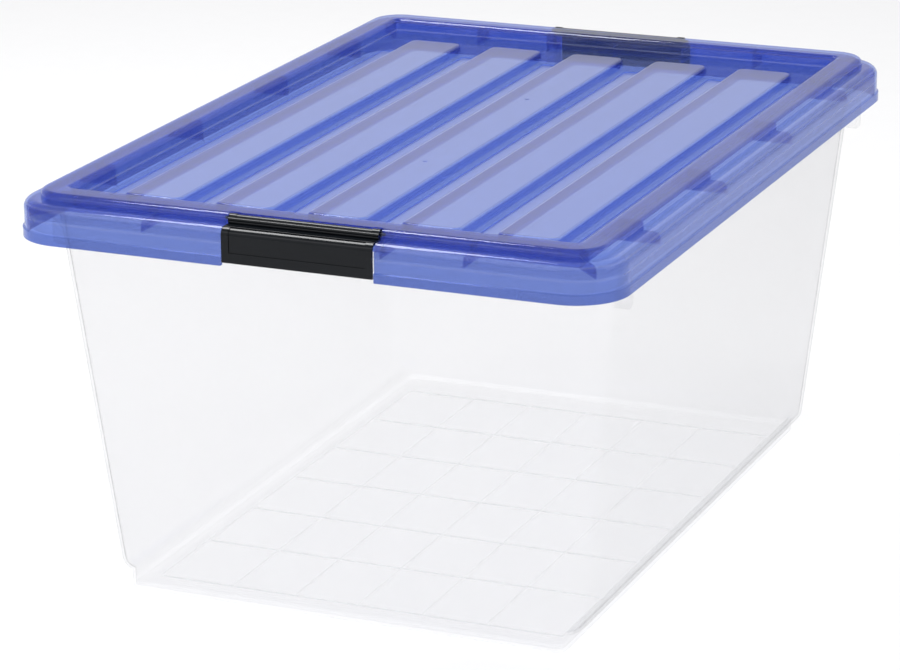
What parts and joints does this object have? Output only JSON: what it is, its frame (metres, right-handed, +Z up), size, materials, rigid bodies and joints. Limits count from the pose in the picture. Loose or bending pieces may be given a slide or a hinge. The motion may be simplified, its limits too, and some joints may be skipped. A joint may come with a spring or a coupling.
{
  "type": "storage box",
  "caption": "Clear tapered storage tub with a translucent blue ribbed lid and a black swing latch at each short end",
  "frame": {"origin": "centre of the footprint, on the surface the box stands on", "axes": "+X across the width, +Y along the length from the front latch to the rear latch, +Z up"},
  "size_m": [0.451, 0.635, 0.3065],
  "materials": {
    "clear_plastic": "clear natural polypropylene",
    "blue_plastic": "translucent gloss",
    "black_plastic": "gloss"
  },
  "bodies": {
    "tub": {"tub": "clear_plastic"},
    "lid": {"lid": "blue_plastic"},
    "front_latch": {"front_latch": "black_plastic"},
    "rear_latch": {"rear_latch": "black_plastic"}
  },
  "joints": [
    {"name": "lid_lift", "type": "slide", "parent": "tub", "child": "lid", "axis": [0, 0, 1], "range_m": [0, 0.3]},
    {"name": "front_latch_swing", "type": "hinge", "parent": "lid", "child": "front_latch", "pos_m": [0, -0.302, 0.3032], "axis": [-1, 0, 0], "range_deg": [0, 110]},
    {"name": "rear_latch_swing", "type": "hinge", "parent": "lid", "child": "rear_latch", "pos_m": [0, 0.302, 0.3032], "axis": [1, 0, 0], "range_deg": [0, 110]}
  ]
}
